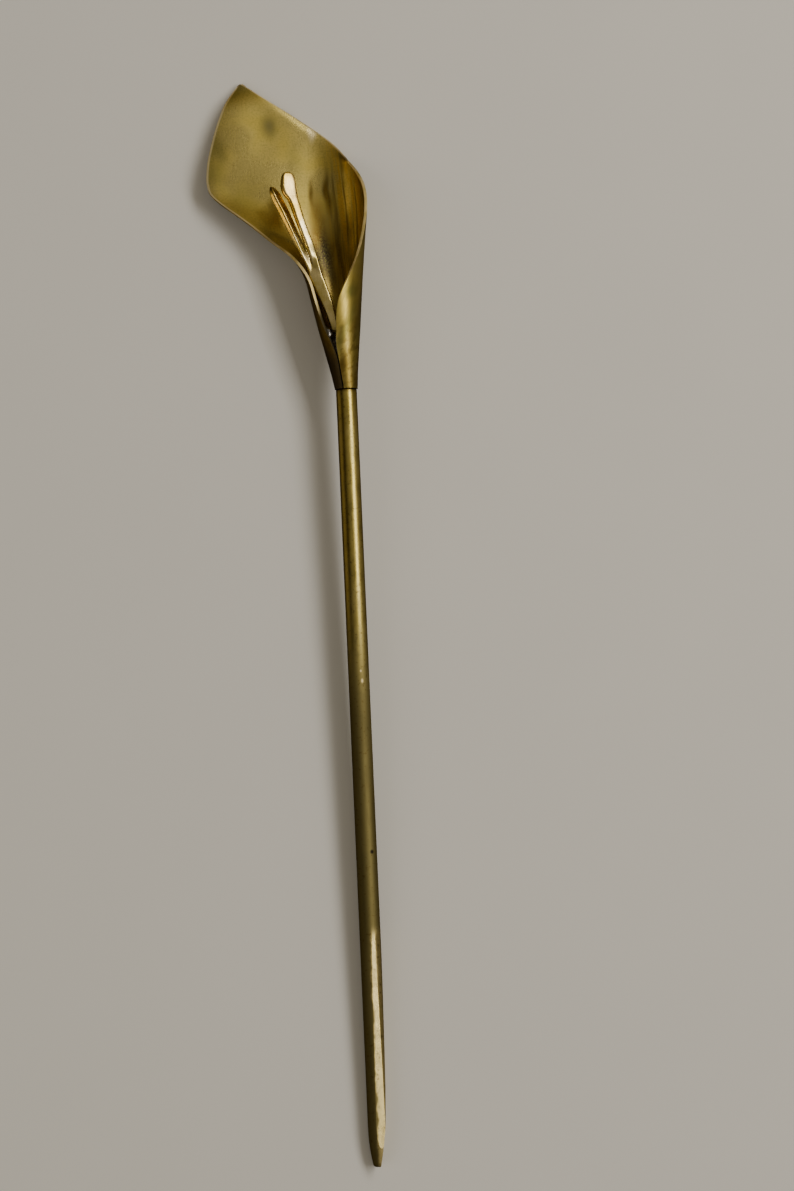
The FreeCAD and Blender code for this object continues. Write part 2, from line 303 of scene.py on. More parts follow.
def tube(bm, stations, segments):
    """A closed tube of radius 1 along Y through the stations, as its rings of vertices"""
    start = Matrix.Translation((0.0, stations[0], 0.0)) @ Matrix.Rotation(pi / 2, 4, "X")
    made = bmesh.ops.create_circle(bm, cap_ends=True, segments=segments, radius=1.0, matrix=start)
    ring = made["verts"]
    edges = list({edge for vert in ring for edge in vert.link_edges})
    rings = [ring]
    for before, station in zip(stations, stations[1:]):
        grown = bmesh.ops.extrude_edge_only(bm, edges=edges)["geom"]
        ring = [part for part in grown if isinstance(part, bmesh.types.BMVert)]
        edges = [part for part in grown if isinstance(part, bmesh.types.BMEdge)]
        edges = [edge for edge in edges if all(vert in ring for vert in edge.verts)]
        bmesh.ops.translate(bm, verts=ring, vec=(0.0, station - before, 0.0))
        rings.append(ring)
    bmesh.ops.edgeloop_fill(bm, edges=edges)
    return rings


# The factor and the two colours among the inputs of a colour mix
MIX_INPUTS = (0, 6, 7)


def tinted(colour):
    """A stored colour with the alpha that a shader's socket wants"""
    return (colour[0], colour[1], colour[2], 1.0)


class Nodes:
    """A node tree, with a short way to add nodes to it"""

    def __init__(self, tree):
        self.tree = tree

    def put(self, socket, value):
        """A link where the value is another node's socket, and otherwise a set number"""
        if isinstance(value, bpy.types.NodeSocket):
            self.tree.links.new(value, socket)
        else:
            socket.default_value = value

    def node(self, kind, inputs, **settings):
        """A new node with its settings made and its inputs set or linked"""
        made = self.tree.nodes.new(kind)
        for name, value in settings.items():
            setattr(made, name, value)
        for key, value in inputs.items():
            self.put(made.inputs[key], value)
        return made


class Finish(Nodes):
    """A node material, with short ways to build its colours, roughness and bumps"""

    def __init__(self, name, looks):
        self.material = bpy.data.materials.new(f"{PREFIX}_{name}")
        self.material.use_nodes = True
        super().__init__(self.material.node_tree)
        self.shader = self.tree.nodes["Principled BSDF"]
        self.looks = looks

    def vector(self, operation, first, second):
        inputs = {0: first, 1: second}
        return self.node("ShaderNodeVectorMath", inputs, operation=operation).outputs[0]

    def stick_mm(self):
        """Object coordinates turned and scaled back to the stick's own frame, in mm"""
        place = self.node("ShaderNodeTexCoord", {}).outputs["Object"]
        turn = LYING.to_euler()
        undo = {"Vector": place, "Location": FLOWER_FOOT, "Rotation": turn, "Scale": (MM, MM, MM)}
        return self.node("ShaderNodeMapping", undo, vector_type="TEXTURE").outputs[0]

    def sheet_mm(self):
        """The petal's own map: reach across the sheet and station along it, in mm"""
        flat = self.node("ShaderNodeUVMap", {}, uv_map=SHEET_MAP).outputs[0]
        start, scale = (-SHEET_SPAN / 2, 0.0, 0.0), (SHEET_SPAN, SHEET_SPAN, 1.0)
        spread = {"Vector": flat, "Location": start, "Scale": scale}
        return self.node("ShaderNodeMapping", spread).outputs[0]

    def from_rim_mm(self):
        """The petal's own attribute: the distance to the sheet's side edges, in mm"""
        return self.node("ShaderNodeAttribute", {}, attribute_name=RIM_DISTANCE).outputs["Fac"]

    def noise(self, place, scale, detail=3.0, roughness=0.5):
        inputs = {"Vector": place, "Scale": scale, "Detail": detail, "Roughness": roughness}
        return self.node("ShaderNodeTexNoise", inputs).outputs[0]

    def drawn_out(self, place, shares, scale, detail=4.0, roughness=0.6):
        """Noise that is stretched to marks, by a share of its own for each axis"""
        return self.noise(self.vector("MULTIPLY", place, shares), scale, detail, roughness)

    def wander(self, place, scale, amount):
        """A place moved about by noise, for the ragged edges of a stain"""
        inputs = {"Vector": place, "Scale": scale, "Detail": 2.0}
        drift = self.node("ShaderNodeTexNoise", inputs).outputs[1]
        centred = self.vector("SUBTRACT", drift, (0.5, 0.5, 0.5))
        scaled = {0: centred, "Scale": amount}
        step = self.node("ShaderNodeVectorMath", scaled, operation="SCALE").outputs[0]
        return self.vector("ADD", place, step)

    def fade(self, value, start, end, low=0.0, high=1.0):
        """A smooth change from low at the start value to high at the end value"""
        inputs = {"Value": value, "From Min": start, "From Max": end, "To Min": low, "To Max": high}
        made = self.node("ShaderNodeMapRange", inputs, interpolation_type="SMOOTHSTEP")
        return made.outputs[0]

    def axis(self, place, name):
        return self.node("ShaderNodeSeparateXYZ", {"Vector": place}).outputs[name]

    def along(self, place, way, start):
        """The distance of a place beyond a point, measured in one direction"""
        away = {0: self.vector("SUBTRACT", place, start), 1: way}
        return self.node("ShaderNodeVectorMath", away, operation="DOT_PRODUCT").outputs["Value"]

    def times(self, first, second):
        return self.node("ShaderNodeMath", {0: first, 1: second}, operation="MULTIPLY").outputs[0]

    def plus(self, first, second):
        """A sum that stays between 0 and 1"""
        inputs = {0: first, 1: second}
        return self.node("ShaderNodeMath", inputs, operation="ADD", use_clamp=True).outputs[0]

    def mix(self, share, base, over):
        """One colour laid over another by a share, each a socket, a colour or a look's name"""
        made = self.node("ShaderNodeMix", {}, data_type="RGBA")
        for place, value in zip(MIX_INPUTS, (share, base, over)):
            if isinstance(value, str):
                value = tinted(getattr(self.looks, value))
            self.put(made.inputs[place], value)
        return made.outputs[2]

    def marked(self, colour, place, stains):
        """A colour with a table of oval marks over it, stains and painted light, each strongest at
        its centre
        """
        for shade, centre, size, amount in stains:
            # A mark of two measures lies on the flat sheet, and gets a third
            centre, size = (centre + (0.0,))[:3], (size + (1.0,))[:3]
            away = self.vector("SUBTRACT", place, centre)
            oval = self.vector("MULTIPLY", away, tuple(1 / part for part in size))
            length = self.node("ShaderNodeVectorMath", {0: oval}, operation="LENGTH")
            patch = self.fade(length.outputs["Value"], 0.0, 1.0, amount, 0.0)
            colour = self.mix(self.plus(patch, 0.0), colour, shade)
        return colour

    def bump(self, height, strength, depth_mm, under=None):
        inputs = {"Height": height, "Strength": strength, "Distance": depth_mm * MM}
        if under is not None:
            inputs["Normal"] = under
        return self.node("ShaderNodeBump", inputs).outputs[0]

    def done(self, colour, roughness, normal, metallic=1.0):
        self.put(self.shader.inputs["Base Color"], colour)
        self.put(self.shader.inputs["Roughness"], roughness)
        self.put(self.shader.inputs["Normal"], normal)
        self.put(self.shader.inputs["Metallic"], metallic)
        return self.material


# Stains and painted light inside the petal: shade, centre and half size as reach and station in mm,
# strength
PETAL_STAINS_AND_PAINTED_LIGHT = (
    ("olive", (-7.8, 42.4), (2.4, 3.0), 0.9),
    ("olive", (-17.0, 37.5), (3.0, 7.0), 0.7),
    ("olive", (-13.0, 31.0), (5.0, 4.5), 0.45),
    ("olive", (-4.5, 37.0), (2.2, 4.0), 0.35),
    ("brown", (0.6, 19.0), (4.2, 14.0), 1.3),
    ("brown", (-1.8, 23.5), (2.4, 7.5), 1.2),
    ("brown", (-1.6, 28.5), (1.9, 6.5), 0.9),
    ("brown", (-3.0, 22.0), (2.6, 8.5), 1.2),
    # Painted shade: dark scale that darkens the throat from station 19 to 22
    ("scale", (-2.2, 20.0), (1.9, 6.0), 0.9),
    ("scale", (-1.2, 22.0), (1.5, 7.0), 1.0),
    ("brown", (3.6, 36.5), (2.0, 4.0), 1.1),
    ("worn", (-7.8, 42.4), (2.0, 2.6), 1.0),
    ("olive", (-16.5, 38.0), (2.2, 5.0), 0.5),
    # A painted highlight along the right edge near the tip
    ("bright", (-1.1, 42.2), (1.2, 3.8), 1.8),
    # More painted shade in the throat
    ("scale", (-0.8, 19.5), (1.8, 5.5), 0.8),
    ("brown", (0.3, 31.0), (1.0, 5.5), 1.2),
    ("brown", (-2.2, 31.3), (0.7, 3.4), 1.2),
    ("brown", (6.3, 33.5), (1.6, 7.0), 1.0),
    ("brown", (-3.2, 15.0), (3.0, 6.0), 1.2),
    ("scale", (-4.4, 10.5), (3.6, 6.5), 1.6),
    ("scale", (2.0, 9.0), (6.0, 7.0), 1.6),
)


def petal_inside_finish(looks):
    """Satin sheet brass inside the flower: soft clouds and a browned throat, with painted light: a
    darker olive tip as a painted reflection, painted shade in the throat, painted reflections on
    the right wall and painted highlights along the rim
    """
    finish = Finish("petal_inside", looks)
    place = finish.sheet_mm()
    ragged = finish.wander(place, 0.12, 2.5)
    clouds = finish.fade(finish.noise(ragged, 0.13, 2.0), 0.36, 0.64)
    colour = finish.mix(clouds, "pale", "satin")
    # The tip past its fold is painted darker olive, a painted reflection of the bent tip
    past_fold = finish.along(ragged, TIP_FOLD_WAY + (0.0,), TIP_FOLD_AT + (0.0,))
    tip = finish.fade(past_fold, -0.8, 1.2, 0.0, 0.45)
    colour = finish.mix(tip, colour, "olive")
    colour = finish.marked(colour, ragged, PETAL_STAINS_AND_PAINTED_LIGHT)
    # Painted reflections on the right wall: amber streaks of warm light and brown streaks of the
    # dark room
    right = finish.fade(finish.axis(ragged, "X"), -0.8, 2.5, 0.0, 0.8)
    reflection_streaks = finish.drawn_out(place, (1.0, 0.06, 1.0), 0.9)
    for start, end, shade in ((0.42, 0.62, "amber"), (0.50, 0.36, "brown")):
        share = finish.times(right, finish.fade(reflection_streaks, start, end))
        colour = finish.mix(share, colour, shade)
    grain = finish.fade(finish.noise(place, 3.2, 3.0, 0.7), 0.40, 0.72, 0.0, 0.45)
    colour = finish.mix(grain, colour, "olive")
    brushed = finish.drawn_out(place, (1.0, 0.05, 1.0), 9.0)
    texture = finish.plus(finish.times(brushed, 0.5), finish.times(clouds, 0.5))
    roughness = finish.fade(texture, 0.2, 0.8, 0.26, 0.38)
    roughness = finish.plus(roughness, finish.times(right, 0.10))
    # A painted highlight: a bright band along the rim from station 16 on, for the light that the
    # rim catches
    near_edge = finish.fade(finish.from_rim_mm(), 0.42, 0.18)
    edge = finish.times(near_edge, finish.fade(finish.axis(place, "Y"), 16.0, 22.0))
    colour = finish.mix(edge, colour, "bright")
    normal = finish.bump(brushed, 0.35, 0.012)
    return finish.done(colour, roughness, normal)


# Stains outside the petal, on the right flap that rolls up to the seam, in the same terms
FLAP_STAINS = (
    ("brown", (6.6, 3.2), (1.1, 3.2), 0.9),
    ("scale", (6.0, 0.5), (1.2, 0.8), 1.0),
    ("brown", (8.9, 9.0), (0.9, 2.2), 0.8),
    ("olive", (9.6, 14.6), (1.8, 2.0), 1.0),
    ("olive", (5.0, 13.0), (2.6, 12.0), 0.9),
    ("olive", (8.4, 9.0), (1.4, 9.0), 0.8),
    ("brown", (6.7, 11.0), (1.6, 9.0), 0.55),
)


def petal_outside_finish(looks):
    """Satin sheet brass outside: dull olive-beige with dark tarnish towards the tail, and painted
    shade on the left flap and on the tail's left side
    """
    finish = Finish("petal_outside", looks)
    place = finish.sheet_mm()
    ragged = finish.wander(place, 0.4, 1.5)
    clouds = finish.fade(finish.noise(ragged, 0.25, 4.0), 0.36, 0.66)
    colour = finish.mix(finish.times(clouds, 0.5), "satin", "pale")
    # Painted shade: the outside of the left flap is darker, on the side away from the light
    left = finish.fade(finish.axis(ragged, "X"), -2.6, -4.2)
    left_flap_shade = finish.times(left, finish.fade(finish.axis(ragged, "Y"), 24.0, 14.0))
    colour = finish.mix(finish.times(left_flap_shade, 0.85), colour, "brown")
    tail = finish.fade(finish.axis(ragged, "Y"), 8.0, 1.0, 0.0, 0.6)
    colour = finish.mix(tail, colour, "brown")
    mottle = finish.fade(finish.noise(place, 0.9, 4.0, 0.6), 0.48, 0.62, 0.0, 0.6)
    low = finish.fade(finish.axis(ragged, "Y"), 13.0, 6.0)
    colour = finish.mix(finish.times(mottle, low), colour, "brown")
    # Painted shade: the tail's left side is darker, away from the light
    left = finish.fade(finish.axis(ragged, "X"), -1.0, -2.6)
    tail_darkening = finish.times(left, finish.fade(finish.axis(ragged, "Y"), 9.0, 3.5))
    colour = finish.mix(finish.times(tail_darkening, 0.8), colour, "scale")
    colour = finish.marked(colour, ragged, FLAP_STAINS)
    brushed = finish.drawn_out(place, (1.0, 0.06, 1.0), 7.0)
    roughness = finish.fade(brushed, 0.25, 0.75, 0.34, 0.50)
    normal = finish.bump(brushed, 0.35, 0.012)
    normal = finish.bump(finish.noise(place, 0.7, 3.0), 0.5, 0.06, normal)
    return finish.done(colour, roughness, normal)


def rim_finish(looks):
    """The petal's filed edge, brighter than the sheet: fresh-filed brass and a painted highlight of
    the light that the rim catches
    """
    finish = Finish("petal_rim", looks)
    place = finish.stick_mm()
    wear = finish.fade(finish.noise(place, 0.4, 2.0), 0.25, 0.6)
    colour = finish.mix(wear, "pale", "bright")
    tail_darkening = finish.fade(finish.axis(place, "Y"), 14.0, 10.5, 0.0, 0.9)
    colour = finish.mix(tail_darkening, colour, "scale")
    filed = finish.noise(place, 3.0, 2.0)
    roughness = finish.fade(filed, 0.3, 0.7, 0.55, 0.72)
    return finish.done(colour, roughness, finish.bump(filed, 0.2, 0.01))


# A pit and two rubbed spots on the rod: shade, centre and half size in mm, strength
ROD_MARKS = (
    ("scale", (0.85, -70.6, 1.36), (0.42, 0.48, 0.6), 1.5),
    ("bright", (0.50, -44.7, 1.52), (0.28, 0.50, 0.6), 1.2),
    ("bright", (0.35, -43.2, 1.56), (0.22, 0.30, 0.6), 1.0),
)


def rod_finish(looks):
    """Drawn rod brass: fine lengthwise lines, dull olive wear, a filed point brighter on its flat
    with a painted highlight, and a dark ring with a painted shadow below the flower's tail
    """
    finish = Finish("rod", looks)
    place = finish.stick_mm()
    ragged = finish.wander(place, 0.35, 1.2)
    length = finish.axis(ragged, "Y")
    clouds = finish.drawn_out(ragged, (1.0, 0.25, 1.0), 0.3, 4.0, 0.5)
    clouds = finish.fade(clouds, 0.38, 0.66)
    colour = finish.mix(clouds, "satin", "pale")
    # The right half of the filed point is painted brighter: fresh-filed brass and a painted
    # highlight on the flat
    filed_part = finish.fade(length, -81.5, -84.5)
    filed_flat_sheen = finish.times(filed_part, finish.fade(finish.axis(ragged, "X"), -0.25, 0.25))
    handled = finish.fade(length, -26.0, -52.0)
    dull = finish.times(handled, finish.fade(filed_flat_sheen, 0.0, 1.0, 1.0, 0.0))
    colour = finish.mix(finish.times(dull, 0.9), colour, "worn")
    colour = finish.mix(finish.times(filed_flat_sheen, 0.5), colour, "bright")
    specks = finish.fade(finish.noise(place, 2.2, 3.0), 0.58, 0.72, 0.0, 0.6)
    colour = finish.mix(specks, colour, "brown")
    dirt = finish.drawn_out(place, (1.0, 0.4, 1.0), 0.9, 5.0, 0.7)
    dirt = finish.fade(dirt, 0.46, 0.70, 0.0, 0.45)
    colour = finish.mix(dirt, colour, "worn")
    colour = finish.marked(colour, place, ROD_MARKS)
    # A dark ring just below the flower's tail: a dark joint and a painted shadow under the tail's
    # edge
    collar = finish.fade(finish.axis(place, "Y"), -0.75, -0.1, 0.0, 0.8)
    colour = finish.mix(collar, colour, "brown")
    lines = finish.drawn_out(place, (1.0, 0.03, 1.0), 8.0)
    filed = finish.drawn_out(place, (0.5, 1.0, 0.5), 5.0)
    worn = finish.plus(finish.times(lines, 0.6), finish.times(clouds, 0.4))
    worn = finish.fade(worn, 0.25, 0.75, 0.26, 0.38)
    roughness = finish.plus(worn, finish.times(dull, 0.32))
    normal = finish.bump(lines, 0.3, 0.010)
    normal = finish.bump(filed, 0.25, 0.008, normal)
    normal = finish.bump(finish.noise(place, 0.6, 3.0), 0.5, 0.05, normal)
    return finish.done(colour, roughness, normal)


def fork_finish(looks):
    """Cut and filed strip: bright worn faces, browned towards the throat, with a painted amber
    reflection on the left prong
    """
    finish = Finish("fork", looks)
    place = finish.stick_mm()
    ragged = finish.wander(place, 0.6, 1.0)
    clouds = finish.fade(finish.noise(ragged, 0.4, 4.0), 0.35, 0.66)
    colour = finish.mix(clouds, "bright", "pale")
    # A painted reflection: the left prong is painted amber, for the warm light it mirrors
    between = finish.along(place, (0.86, -0.51, 0.0), (-6.55, 25.0, 0.0))
    left = finish.fade(between, 0.1, -0.25, 0.0, 0.5)
    colour = finish.mix(left, colour, "amber")
    low = finish.fade(finish.axis(ragged, "Y"), 20.6, 19.6, 0.0, 0.4)
    colour = finish.mix(low, colour, "satin")
    foot = finish.fade(finish.axis(ragged, "Y"), 10.5, 7.5, 0.0, 0.85)
    colour = finish.mix(foot, colour, "scale")
    grain = finish.drawn_out(place, (1.0, 0.08, 1.0), 6.0)
    roughness = finish.fade(grain, 0.25, 0.75, 0.20, 0.32)
    normal = finish.bump(grain, 0.35, 0.012)
    normal = finish.bump(finish.noise(place, 1.1, 3.0), 0.4, 0.04, normal)
    return finish.done(colour, roughness, normal)


def solder_finish(looks):
    """Grey solder, glossy where it has flowed and dull in its hollows"""
    finish = Finish("solder", looks)
    place = finish.stick_mm()
    clouds = finish.fade(finish.noise(place, 1.2, 4.0), 0.35, 0.65)
    colour = finish.mix(clouds, "solder", "scale")
    roughness = finish.fade(finish.noise(place, 2.0, 3.0), 0.3, 0.7, 0.18, 0.42)
    return finish.done(colour, roughness, finish.bump(clouds, 0.4, 0.08))


def floor_finish(looks):
    """A plain pale table with the slightest unevenness of tone"""
    finish = Finish("floor", looks)
    place = finish.node("ShaderNodeTexCoord", {}).outputs["Object"]
    tone = finish.noise(place, 40.0, 3.0)
    darker = tuple(0.96 * part for part in looks.floor) + (1.0,)
    colour = finish.mix(tone, "floor", darker)
    roughness = finish.fade(tone, 0.3, 0.7, 0.75, 0.85)
    return finish.done(colour, roughness, finish.bump(tone, 0.1, 0.05), metallic=0.0)


def size_property(name, text, default, low, high):
    return FloatProperty(
        name=name, description=text, default=default, min=low, max=high,
        subtype="DISTANCE", unit="LENGTH", precision=5,
    )


def colour_property(name, text, default):
    return FloatVectorProperty(
        name=name, description=text, default=default, min=0.0, max=1.0, size=3, subtype="COLOR",
    )


class HairStickSizes(bpy.types.PropertyGroup):
    """Sizes of the stick's pieces that a maker would change"""

    rod_radius: size_property(
        "Rod radius", "Radius of the round rod", ROD_RADIUS * MM, 0.0005, 0.005,
    )
    sheet: size_property("Sheet", "Thickness of the petal's sheet", 0.42 * MM, 0.0001, 0.001)
    rim_round: size_property(
        "Rim rounding", "Width of the rounding along the petal's rim", 0.16 * MM, 0.0, 0.0002,
    )
    dent_depth: size_property(
        "Dents", "Depth of the hand-worked dents in the petal", 0.22 * MM, 0.0, 0.001,
    )
    tip_fold: FloatProperty(
        name="Tip fold", description="How steeply the petal's tip falls beyond its fold",
        default=0.46, min=0.0, max=1.5,
    )
    fork_grain: size_property(
        "Fork detail", "Size of the smallest detail on the fork", 0.075 * MM, 0.00005, 0.0005,
    )
    solder_lumps: size_property(
        "Solder lumps", "Height of the lumps on the solder", 0.22 * MM, 0.0, 0.001,
    )


class HairStickLooks(bpy.types.PropertyGroup):
    """Colours of the brass and of the table"""

    bright: colour_property("Bright", "Freshly filed brass", (0.92, 0.77, 0.42))
    pale: colour_property("Pale", "Pale satin brass", (0.62, 0.50, 0.165))
    satin: colour_property("Satin", "Yellower satin brass", (0.50, 0.385, 0.09))
    olive: colour_property("Olive", "Dull greenish brass", (0.225, 0.20, 0.05))
    worn: colour_property("Worn", "Dull handled brass on the rod", (0.20, 0.168, 0.068))
    amber: colour_property("Amber", "Heat-tinted brass", (0.62, 0.38, 0.045))
    brown: colour_property("Brown", "Browned brass", (0.14, 0.085, 0.018))
    scale: colour_property("Scale", "Dark fire scale", (0.035, 0.027, 0.018))
    solder: colour_property("Solder", "Grey solder", (0.30, 0.29, 0.28))
    floor: colour_property("Table", "Pale table top", (0.86, 0.845, 0.825))


class HairStickSettings(bpy.types.PropertyGroup):
    """Everything that can be set for the hair stick"""

    sizes: PointerProperty(type=HairStickSizes, name="Sizes", description="Sizes of the pieces")
    looks: PointerProperty(type=HairStickLooks, name="Looks", description="Colours of the pieces")


def petal_sheet(sizes):
    """The petal's middle surface in mm, its inside up, with its own map and attribute"""
    bm = bmesh.new()
    from_rim = bm.verts.layers.float.new(RIM_DISTANCE)
    counts = {"x_segments": PETAL_COLUMN_COUNT, "y_segments": PETAL_ROW_COUNT}
    sheet = bmesh.ops.create_grid(bm, size=0.5, **counts)
    flat = bm.loops.layers.uv.new(SHEET_MAP)
    measured = {}
    rows = {}
    for vert in sheet["verts"]:
        station = PETAL_END * (vert.co.y + 0.5)
        key = round(station, 4)
        if key not in rows:
            rows[key] = row_at(PETAL, station)
        row = rows[key]
        reach = row["right"] - (row["right"] + row["left"]) * (vert.co.x + 0.5)
        measured[vert] = (reach / SHEET_SPAN + 0.5, station / SHEET_SPAN)
        vert[from_rim] = min(row["right"] - reach, reach + row["left"])
        vert.co = shaped_petal_point(row, reach, sizes)
    for face in bm.faces:
        for corner in face.loops:
            corner[flat].uv = measured[corner.vert]
    left_of, beyond = 0.5 + EASED_LEFT_OF / SHEET_SPAN, EASED_FROM / SHEET_SPAN
    open_part = [
        vert for vert, (across, along) in measured.items() if along > beyond and across < left_of
    ]
    for _ in range(EASING_ROUNDS):
        bmesh.ops.smooth_vert(bm, verts=open_part, factor=0.5, use_axis_z=True)
    bm.normal_update()
    leaf = [face for face in bm.faces if face.calc_center_median().y > OPEN_FROM]
    if sum(face.normal.z for face in leaf) < 0:
        bmesh.ops.reverse_faces(bm, faces=bm.faces)
    return bm


class HAIRSTICK_OT_add_petal(bpy.types.Operator):
    """Add the calla-lily flower, one sheet rolled into a cup with a drawn-out tip"""

    bl_idname = "hair_stick.add_petal"
    bl_label = "Petal"

    def execute(self, context):
        settings = context.scene.hair_stick
        sizes, looks = settings.sizes, settings.looks
        bm = petal_sheet(sizes)
        finishes = [petal_inside_finish(looks), petal_outside_finish(looks), rim_finish(looks)]
        petal = coat(bm, "petal", finishes)
        wall = petal.modifiers.new("sheet", "SOLIDIFY")
        wall.thickness = sizes.sheet
        wall.offset = 0.0
        wall.use_even_offset = True
        wall.material_offset = 1
        wall.material_offset_rim = 2
        rim = petal.modifiers.new("rim", "BEVEL")
        rim.width = sizes.rim_round
        rim.segments = RIM_STEPS
        rim.limit_method = "ANGLE"
        rim.angle_limit = RIM_FROM
        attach(petal, "root")
        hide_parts("spathe")
        return {"FINISHED"}


# The rod's stations and sizes, in mm: its end, its bowed nose, its roundings and the
# spigot that goes into the flower's tail
ROD_END = -118.0
NOSE_START = -112.0
NOSE_DROP = 0.65
TIP_ROUND = 0.35
SHOULDER_ROUND = 0.22
SPIGOT_RADIUS = 1.28
SPIGOT_TOP = 3.0
SPIGOT_CHAMFER = 0.1
SPIGOT_FOOT = 0.02

# How finely the rod is divided: sides, rings along it and its nose, steps of a rounding
ROD_SIDES = 96
ROD_RINGS = 112
NOSE_RINGS = 19
NOSE_RING_GAP = 0.3
ROUND_STEPS = 6

# The flats filed on the rod's point: the way each faces, as right and up before the turn
# about the rod, and its distance from the axis at two stations, in mm
ROD_CUTS = (
    ((1.0, 0.0), -83.0, 1.60, -106.0, 1.05),
    ((1.0, 0.0), -106.0, 1.05, -112.0, 0.72),
    ((1.0, 0.0), -112.0, 0.72, -118.0, -0.12),
    ((0.0, 1.0), -81.0, 1.60, -118.0, 1.41),
)
FACET_TURN = radians(16.0)
CUT_MERGE = 1e-5
SHARP_FROM = radians(35)


def rod_stations():
    """Where the rod's rings stand, close together where its width changes"""
    turns = [step * pi / (2 * ROUND_STEPS) for step in range(ROUND_STEPS + 1)]
    stations = [SPIGOT_TOP, SPIGOT_TOP - SPIGOT_CHAMFER, SPIGOT_FOOT, 0.0]
    stations += [-ROD_TOP - SHOULDER_ROUND * (1 - cos(turn)) for turn in turns]
    stations += [-0.5 - step for step in range(1, ROD_RINGS)]
    stations += [NOSE_START - NOSE_RING_GAP * step for step in range(1, NOSE_RINGS)]
    stations += [ROD_END + TIP_ROUND * (1 - sin(turn)) for turn in turns]
    return sorted(set(stations), reverse=True)


def rod_half_width(station, radius):
    """The rod's radius at a station, before its flats are filed"""
    if station > SPIGOT_TOP - SPIGOT_CHAMFER / 2:
        return SPIGOT_RADIUS - SPIGOT_CHAMFER
    if station >= 0.0:
        return SPIGOT_RADIUS
    below_top = -ROD_TOP - station
    if below_top < SHOULDER_ROUND:
        rise = 1 - max(below_top, 0.0) / SHOULDER_ROUND
        return radius - SHOULDER_ROUND * (1 - sqrt(1 - rise**2))
    if station > NOSE_START:
        return radius
    nose_length = NOSE_START - ROD_END
    bow = (nose_length**2 + NOSE_DROP**2) / (2 * NOSE_DROP)
    wide = radius - (bow - sqrt(bow**2 - (NOSE_START - station) ** 2))
    above_end = station - ROD_END
    if above_end < TIP_ROUND:
        wide -= TIP_ROUND * (1 - sqrt(1 - (1 - above_end / TIP_ROUND) ** 2))
    return wide


def turned_rod(radius):
    """The rod in mm as it comes from the lathe, with its spigot and its nose"""
    bm = bmesh.new()
    stations = rod_stations()
    for ring, station in zip(tube(bm, stations, ROD_SIDES), stations):
        wide = rod_half_width(station, radius)
        for vert in ring:
            vert.co.x *= wide
            vert.co.z *= wide
    bmesh.ops.recalc_face_normals(bm, faces=bm.faces)
    return bm


def file_point(bm):
    """Files the flats on the rod's point, and keeps their edges sharp"""
    turn = Matrix.Rotation(FACET_TURN, 3, "Y")
    for (right, up), start, start_depth, end, end_depth in ROD_CUTS:
        slope = (end_depth - start_depth) / (end - start)
        normal = turn @ Vector((right, -slope * (right + up), up)).normalized()
        point = turn @ Vector((right * start_depth, start, up * start_depth))
        parts = list(bm.verts) + list(bm.edges) + list(bm.faces)
        cut = bmesh.ops.bisect_plane(
            bm, geom=parts, plane_co=point, plane_no=normal, clear_outer=True, dist=CUT_MERGE,
        )
        edges = [part for part in cut["geom_cut"] if isinstance(part, bmesh.types.BMEdge)]
        bmesh.ops.edgeloop_fill(bm, edges=edges)
        for edge in edges:
            edge.smooth = False
    for edge in bm.edges:
        if len(edge.link_faces) == 2 and edge.calc_face_angle() > SHARP_FROM:
            edge.smooth = False


class HAIRSTICK_OT_add_rod(bpy.types.Operator):
    """Add the round rod with its filed, rounded point"""

    bl_idname = "hair_stick.add_rod"
    bl_label = "Rod"

    def execute(self, context):
        settings = context.scene.hair_stick
        bm = turned_rod(settings.sizes.rod_radius / MM)
        file_point(bm)
        rod = coat(bm, "rod", [rod_finish(settings.looks)])
        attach(rod, "root")
        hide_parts("shaft")
        return {"FINISHED"}


# A limb's sides and its least number of steps, the gap of its rings in mm, and how square
# its section is: 1 is an oval, and towards 0 it is a rectangle
LIMB_SIDES = 48
LIMB_STEPS = 8
LIMB_RING_GAP = 0.25
LIMB_SQUARE = 0.36

# How often a melted skin is smoothed
MELT_ROUNDS = 6


def limb(bm, rows):
    """A closed strip of a rounded oblong section through the rows of a table"""
    rows = table(FORK_COLUMNS, rows)
    low, high = rows[0]["station"], rows[-1]["station"]
    count = max(int((high - low) / LIMB_RING_GAP), LIMB_STEPS)
    stations = [low + (high - low) * step / count for step in range(count + 1)]
    for ring, station in zip(tube(bm, stations, LIMB_SIDES), stations):
        row = row_at(rows, station)
        twist = Matrix.Rotation(radians(row["twist"]), 3, "Y")
        for vert in ring:
            across, deep = (copysign(abs(part) ** LIMB_SQUARE, part) for part in vert.co.xz)
            at = twist @ Vector((across * row["half_width"], 0.0, deep * row["half_depth"]))
            vert.co = Vector((row["side"] + at.x, station, row["height"] + at.z))


def joined(bm, grain_mm):
    """Overlapping closed shapes melted into one skin, then smoothed"""
    bmesh.ops.recalc_face_normals(bm, faces=bm.faces)
    mesh = bpy.data.meshes.new("melting")
    bm.to_mesh(mesh)
    bm.free()
    holder = bpy.data.objects.new("melting", mesh)
    bpy.context.scene.collection.objects.link(holder)
    melt = holder.modifiers.new("melt", "REMESH")
    melt.mode = "VOXEL"
    melt.voxel_size = grain_mm
    melted = holder.evaluated_get(bpy.context.evaluated_depsgraph_get())
    bm = bmesh.new()
    bm.from_mesh(melted.to_mesh())
    melted.to_mesh_clear()
    bpy.data.objects.remove(holder)
    bpy.data.meshes.remove(mesh)
    axes = {"use_axis_x": True, "use_axis_y": True, "use_axis_z": True}
    for _ in range(MELT_ROUNDS):
        bmesh.ops.smooth_vert(bm, verts=bm.verts, factor=0.5, **axes)
    return bm


